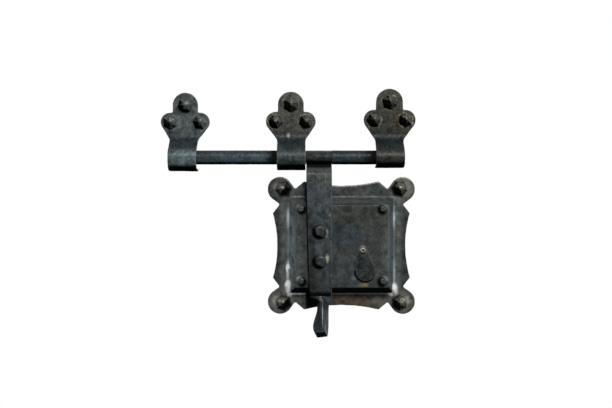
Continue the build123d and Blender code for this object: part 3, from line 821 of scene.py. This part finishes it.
def bar_iron():
    """Blued bar, streaked along its length, dull on top and in the shadow of two keepers."""
    washes = [
        StainAndLight("blue all over", (-60, -12, BAR_Z), (600, 100, 100), (0.80, 0.92, 0.97)),
        StainAndLight("dull top", (-60, -12, 101), (300, 30, 9), (0.55, 0.57, 0.60)),
        StainAndLight("pale front", (-60, -16.5, 90.5), (300, 20, 4.5), grey(1.4)),
        StainAndLight("shadow of the middle keeper", (-72.5, -16, BAR_Z), (9, 30, 30), grey(0.12)),
        StainAndLight("shadow of the right keeper", (30, -16, BAR_Z), (10, 30, 30), grey(0.12)),
        StainAndLight("dark right stretch", (10, -16, BAR_Z), (60, 30, 30), (0.56, 0.56, 0.54)),
    ]
    finish_and_shade = FinishAndShade(
        tone=0.050, tint=BLUE, streak=(0.15, 1, 1), wear=0.2, painted_shade_span=(0.45, 0.90), roughness=0.50, gloss=0.15,
    )
    return iron("bar_iron", finish_and_shade, washes)


def hasp_iron():
    """Blued strap, streaked along its length, with painted shade at its left edge, its eye, its heel and the
    left of its tail, dark at its tail, and painted highlights by its heads and on the tail's ridge and root.
    """
    washes = [
        StainAndLight("dark tail", (-22, -25, -82), (40, 60, 48), (0.35, 0.37, 0.40)),
        StainAndLight("painted shade on the left edge", (-34, -22, -20), (10, 20, 100), (0.52, 0.52, 0.50)),
        StainAndLight("dull foot of the strap", (-22, -22, -36), (40, 20, 30), (0.78, 0.78, 0.76)),
        StainAndLight("shadow below the eye", (-24, -14, 84.5), (30, 20, 4.5), grey(0.08)),
        StainAndLight("painted shade on the heel", (-24, -28, -52), (30, 30, 4), grey(0.35)),
        StainAndLight("dull right of the tail", (-16, -36, -66), (5, 40, 22), (0.50, 0.50, 0.45)),
        StainAndLight("dark tip of the tail", (-22, -41, -89), (20, 30, 11), grey(0.25)),
        StainAndLight("painted shade on the eye", (-24, -10, 94), (30, 30, 18), grey(0.42)),
        StainAndLight("warm strap below the eye", (-24, -20, 74), (40, 30, 13), (1.25, 1.18, 0.95)),
    ]
    patches = [
        StainAndLight("painted shade on the tail's left facet", (-24.3, -36, -69), (2, 40, 24), BLACK),
        StainAndLight("painted highlight on the tail's ridge", (-20.6, -36, -67), (0.8, 40, 18), GLINT_GREY, 0.7),
        StainAndLight("painted highlight at the root of the tail", (-22.5, -30, -55.5), (2.4, 30, 6), LOBE_GREY),
        StainAndLight("ochre at the right edge", (-12.2, HASP_FACE, 32.5), (1.8, 10, 4), OCHRE, 0.8),
        StainAndLight("painted highlight by the upper head", (-15.8, HASP_FACE, 13.4), (3, 10, 5.5), PALE_HIGHLIGHT),
        StainAndLight("painted highlight by the lower head", (-15.8, HASP_FACE, -12.5), (3, 10, 6.5), PALE_HIGHLIGHT),
    ]
    finish_and_shade = FinishAndShade(
        tone=0.058, tint=BLUE, streak=(1.2, 1, 0.08), streaked=0.9, mottled=0.8, detail=3.0, flecked=0.15,
        pitted=0.3, wear=0.3, painted_shade_span=(0.18, 0.55), roughness=0.36,
    )
    return iron("hasp_iron", finish_and_shade, washes, patches)


def rivet_iron():
    """Dark peened heads with painted shade on one side, darker on the hasp than on the case."""
    washes = [StainAndLight("heads on the hasp", (-23.5, -26, 0), (30, 20, 50), (0.72, 0.76, 0.78))]
    finish_and_shade = FinishAndShade(tone=0.038, painted_shade_span=(0.04, 0.32), roughness=0.45)
    return iron("rivet_iron", finish_and_shade, washes)


def cover_iron():
    """Dark keyhole cover with rubbed edges and a paler eye."""
    eye = (PIVOT.x + 0.6, -20, PIVOT.z + 0.7)
    patches = [StainAndLight("paler eye", eye, (6.5, 10, 6.5), EYE_GREY, 0.8)]
    return iron("cover_iron", FinishAndShade(tone=0.034, pitted=0.4, wear=1.0), patches=patches)


def pivot_iron():
    """Pale warm pivot with a brown dimple."""
    patches = [StainAndLight("brown dimple", (PIVOT.x, -22, PIVOT.z), (1.9, 4, 1.9), BROWN)]
    return iron("pivot_iron", FinishAndShade(tone=0.14, tint=WARM), patches=patches)


# Forged surfaces


def cell_number(cells, seed):
    """Repeatable number from 0 to 1 for each whole-numbered cell."""
    mixed = seed * SEED_FACTOR
    for axis, factor in enumerate(CELL_FACTORS):
        mixed = mixed ^ (cells[..., axis] * factor)
    mixed = mixed & LOW_BITS
    for shift, factor in STIRS:
        mixed = ((mixed ^ (mixed >> shift)) * factor) & LOW_BITS
    return ((mixed >> UPPER_SHIFT) & TOP_NUMBER) / TOP_NUMBER


def waves(points, size, seed):
    """Smooth random swell from 0 to 1 with humps about this size."""
    scaled = points / size
    cells = np.floor(scaled).astype(np.int64)
    share = scaled - cells
    share = share * share * (3 - 2 * share)
    total = np.zeros(len(points))
    for corner in np.ndindex(2, 2, 2):
        step = np.array(corner)
        weight = np.prod(np.where(step == 1, share, 1 - share), axis=1)
        total += weight * cell_number(cells + step, seed)
    return total


def hammer_marks(points, size, seed):
    """Shallow dishes side by side, 0 at their rims and 1 at their middles."""
    scaled = points / size
    cells = np.floor(scaled).astype(np.int64)
    nearest = np.full(len(points), np.inf)
    for neighbour in np.ndindex(3, 3, 3):
        cell = cells + np.array(neighbour) - 1
        jitter = np.stack([cell_number(cell, seed + axis) for axis in range(3)], axis=1)
        nearest = np.minimum(nearest, np.sum((cell + jitter - scaled) ** 2, axis=1))
    return np.clip(1 - nearest, 0, 1)


def even_out(values, edges, rounds):
    """Values averaged with their neighbours along the mesh's edges."""
    a, b = edges[:, 0], edges[:, 1]
    count = len(values)
    ties = np.bincount(a, minlength=count) + np.bincount(b, minlength=count)
    for _ in range(rounds):
        total = np.empty_like(values)
        for axis in range(values.shape[1]):
            column = values[:, axis]
            total[:, axis] = np.bincount(a, column[b], count) + np.bincount(b, column[a], count)
        values = 0.5 * values + 0.5 * total / ties[:, None]
    return values


def fine_mesh(node, voxel):
    """The node's solid as an even mesh."""
    source = bpy.data.meshes.new(node + "_source")
    shape = joined_shape(node)
    shape.to_mesh(source)
    shape.free()
    holder = bpy.data.objects.new(node + "_source", source)
    bpy.context.scene.collection.objects.link(holder)
    remesh = holder.modifiers.new("even", "REMESH")
    remesh.mode = "VOXEL"
    remesh.voxel_size = voxel
    depsgraph = bpy.context.evaluated_depsgraph_get()
    mesh = bpy.data.meshes.new_from_object(holder.evaluated_get(depsgraph))
    bpy.data.objects.remove(holder)
    bpy.data.meshes.remove(source)
    return mesh


def read_mesh(mesh):
    """Points, normals and edges of a mesh as arrays."""
    points = np.empty(len(mesh.vertices) * 3)
    mesh.vertices.foreach_get("co", points)
    normals = np.empty(len(mesh.vertices) * 3, np.float32)
    mesh.vertex_normals.foreach_get("vector", normals)
    edges = np.empty(len(mesh.edges) * 2, np.int32)
    mesh.edges.foreach_get("vertices", edges)
    return points.reshape(-1, 3), normals.reshape(-1, 3).astype(float), edges.reshape(-1, 2)


def move_points(mesh, points):
    mesh.vertices.foreach_set("co", points.ravel())
    mesh.update()


def hammered_mesh(node, work, seed):
    """The node's solid with eased edges, hammer marks and a slow swell, all sunk below its surface."""
    mesh = fine_mesh(node, work.voxel * MM)
    points, _, edges = read_mesh(mesh)
    move_points(mesh, even_out(points, edges, work.easing))
    points, normals, _ = read_mesh(mesh)
    sink = work.depth * MM * hammer_marks(points, work.mark * MM, seed)
    sink += work.swell * MM * waves(points, SWELL_SIZE, seed + SWELL_SEED)
    sink *= 1 - work.snug * np.abs(normals[:, 0])
    move_points(mesh, points - normals * sink[:, None])
    return mesh


def store(mesh, name, values):
    """Keep a value from 0 to 1 on each point, for the paint."""
    attribute = mesh.attributes.new(name, "FLOAT", "POINT")
    attribute.data.foreach_set("value", np.clip(values, 0, 1).astype(np.float32))


def store_wear(mesh, work, shade_and_wear):
    """Keep how far each point stands out of, or lies below, what is round it, and how far it turns to the
    side that takes painted shade.
    """
    points, normals, edges = read_mesh(mesh)
    rounds = int((EDGE_REACH / (work.voxel * MM)) ** 2)
    around = even_out(points, edges, rounds)
    proud = np.sum((points - around) * normals, axis=1) / EDGE_FULL
    store(mesh, "edge", proud * (points[:, 2] < shade_and_wear.worn_below))
    store(mesh, "hollow", -proud)
    shades = np.tile(shade_and_wear.shade, (len(points), 1))
    if shade_and_wear.mirrored:
        shades[:, 0] *= np.sign(points[:, 0])
    store(mesh, "under", np.sum(normals * shades, axis=1))


def round_fittings(points, fittings, reach):
    """1 under and at the rims of fittings that lie on a surface, falling to 0 at a reach outside them."""
    close = np.zeros(len(points))
    for corners, share in fittings:
        outside = np.full(len(points), -np.inf)
        for a, b in zip(corners, np.roll(corners, -1, axis=0)):
            along = (b - a) / np.linalg.norm(b - a)
            away = (points[:, 0] - a[0]) * along[1] - (points[:, 2] - a[1]) * along[0]
            outside = np.maximum(outside, away)
        close = np.maximum(close, share * np.sqrt(np.clip(1 - outside / reach, 0, 1)))
    return close


def store_shadow_and_specks(mesh, shade_and_wear, seed):
    """Keep how much painted shadow each point takes, and how many bright specks it may have."""
    points, _, _ = read_mesh(mesh)
    uneven = waves(points, UNEVEN_SIZE, seed + UNEVEN_SEED)
    wide = round_fittings(points, shade_and_wear.shadows, SHADOW_REACH)
    crisp_shadows = CRISP_GAIN * round_fittings(points, shade_and_wear.crisp_shadows, CRISP_REACH)
    store(mesh, "painted_shadow", (SHADOW_LEAST + SHADOW_VARIES * uneven) * np.maximum(wide, crisp_shadows))
    speckled = np.clip(SPECK_GAIN * uneven - SPECK_START, 0, 1)
    store(mesh, "specks_and_highlight", speckled * round_fittings(points, shade_and_wear.speck_and_highlight_rings, CRISP_REACH))


def forge(node, material, work, shade_and_wear=ShadeAndWear(), seed=1):
    """Forged piece that takes the place of a CAD node."""
    mesh = hammered_mesh(node, work, seed)
    store_wear(mesh, work, shade_and_wear)
    store_shadow_and_specks(mesh, shade_and_wear, seed)
    mesh.shade_smooth()
    mesh.materials.clear()
    mesh.materials.append(material)
    piece = bpy.data.objects.new("forged_" + node, mesh)
    bpy.context.scene.collection.objects.link(piece)
    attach(piece, frame["nodes"][node]["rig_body"])
    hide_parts(node)


# Pieces

NAIL_WORK = Work(voxel=0.35, mark=5, depth=0.25, swell=0.1)
KEEPER_WORK = Work(voxel=0.6, mark=8, depth=0.2)
KEEPER_SEED = 20
KEEPER_NAIL_SEED = 30


def forge_case(material):
    """Dished case: painted shadow beside its fittings, beside the hasp and under its heel, painted shade on
    the upper bends, a painted shadow line below the cover.
    """
    fittings = [*outlines("cap_pillars"), *outlines("case_nails")]
    # Painted shadow left of the hasp and under its heel, painted shade on the face's top edge and the top of
    # the wall
    beside_hasp = strip(left=-34.0, right=-33.2, low=-46, high=46, lean=-2.4)
    under_heel = strip(left=-36.0, right=-21.5, low=-70, high=-49)
    face_top = strip(left=-47.5, right=47.5, low=42.8, high=43.6)
    wall_top = strip(left=-54.5, right=54.5, low=52.0, high=53.5)
    # Painted shadow crescents below the fittings, on their side towards the case's middle
    shadows = shifted(fittings, -LIGHT_AND_SHADOW_SHIFT, -LIGHT_AND_SHADOW_SHIFT)
    shadows += [(beside_hasp, 1.0), (under_heel, 1.4), (face_top, 0.53), (wall_top, 0.45)]
    # Painted shadow line below the cover's lower rim
    cover, share = outlines("keyhole_cover")[0]
    cover_foot = cover[cover[:, 1] < COVER_FOOT_BELOW]
    below_cover = shifted([(cover_foot, share)], -LIGHT_AND_SHADOW_SHIFT, -COVER_SHADOW)
    # Pale specks above the fittings, on their outer side, as a painted highlight
    shade_and_wear = ShadeAndWear(shadows=shadows, crisp_shadows=below_cover, speck_and_highlight_rings=shifted(fittings, LIGHT_AND_SHADOW_SHIFT, LIGHT_AND_SHADOW_SHIFT))
    forge("lock_case", material, Work(voxel=0.75, mark=7, depth=0.15, easing=5), shade_and_wear)


def forge_keepers(plate_material, nail_material):
    """Three strap keepers with their nails, which take painted shade at their lower left; pale specks ring
    the nails of two.
    """
    for number, side in enumerate(STRAPS):
        nails = side + "_keeper_nails"
        at_left = side == "left"
        plate_shading = ShadeAndWear(speck_and_highlight_rings=() if at_left else outlines(nails))
        nail_shading = ShadeAndWear(shade=LOW_LEFT if at_left else LOW_LEFT_FRONT)
        forge(side + "_keeper", plate_material, KEEPER_WORK, plate_shading, KEEPER_SEED + number)
        forge(nails, nail_material, NAIL_WORK, nail_shading, KEEPER_NAIL_SEED + number)


def forge_bar(material):
    """Bolt bar, with painted shadow where it enters the middle and right keepers."""
    by_middle_keeper = strip(left=-71.5, right=-68.0, low=84, high=101)
    by_right_keeper = strip(left=31.9, right=35.4, low=84, high=101)
    work = Work(voxel=0.55, mark=9, depth=0.10, swell=0.1, easing=1, snug=1.0)
    shade_and_wear = ShadeAndWear(shadows=[(by_middle_keeper, 1.0), (by_right_keeper, 1.0)])
    forge("slide_bar", material, work, shade_and_wear)


def forge_hasp(material):
    """Hasp, with bands of painted shade across its eye, below it and on its lower bend, and crisp painted
    shadow beside its two heads.
    """
    # Bands of painted shade across the eye, below it and on the bend
    bands = ((94.6, 96.0, 0.6), (83.8, 88.5, 1.0), (75.8, 76.8, 0.45))
    shadows = [(strip(left=-38, right=-10, low=low, high=high), share) for low, high, share in bands]
    by_heads = shifted(outlines("hasp_staple", HASP_HEADS_FROM), LIGHT_AND_SHADOW_SHIFT, -LIGHT_AND_SHADOW_SHIFT)
    work = Work(voxel=0.48, mark=8, depth=0.12, swell=0.12, easing=1, snug=1.0)
    shade_and_wear = ShadeAndWear(shadows=shadows, crisp_shadows=by_heads, shade=LOW_LEFT, worn_below=80 * MM)
    forge("hasp", material, work, shade_and_wear)


def forge_small_pieces(head_material):
    """Peened heads of the hasp's staple and domes of the pillars, with painted shade on one side, keyhole
    cover and its pivot.
    """
    staple_work = Work(voxel=0.4, mark=4, depth=0.1, swell=0.1)
    pillar_work = Work(voxel=0.3, mark=3, depth=0.1, swell=0.05)
    cover_work = Work(voxel=0.4, mark=6, depth=0.06, swell=0.1)
    pivot_work = Work(voxel=0.25, mark=2, depth=0.05, swell=0.05)
    forge("hasp_staple", head_material, staple_work, ShadeAndWear(shade=LOW_LEFT))
    forge("cap_pillars", head_material, pillar_work, ShadeAndWear(shade=LOW_LEFT, mirrored=True))
    forge("keyhole_cover", cover_iron(), cover_work)
    forge("cover_rivet", pivot_iron(), pivot_work)


def paint_inner_pieces():
    """Plain iron and spring steel on the pieces inside the case."""
    inner_iron = iron("inner_iron", FinishAndShade(tone=0.13))
    spring_steel = iron("spring_steel", FinishAndShade(tone=0.2))
    materials = {
        "back_cap": inner_iron,
        "lock_bolt": inner_iron,
        "front_bolt_guide": inner_iron,
        "rear_bolt_guide": inner_iron,
        "key_post": inner_iron,
        "ward_ring": inner_iron,
        "spring_stud": inner_iron,
        "bolt_spring": spring_steel,
    }
    for node, material in materials.items():
        for place in frame["nodes"][node].material_slots:
            place.material = material


bpy.context.scene.view_settings.view_transform = "Standard"
add_camera()
add_world()
add_floor()
add_lamp()
nail_material = nail_iron()
forge_case(case_iron())
# Case nails take painted shade on their lower side towards the case's middle
forge("case_nails", nail_material, NAIL_WORK, ShadeAndWear(shade=LOW_LEFT, mirrored=True))
forge_keepers(keeper_iron(), nail_material)
forge_bar(bar_iron())
forge_hasp(hasp_iron())
forge_small_pieces(rivet_iron())
paint_inner_pieces()
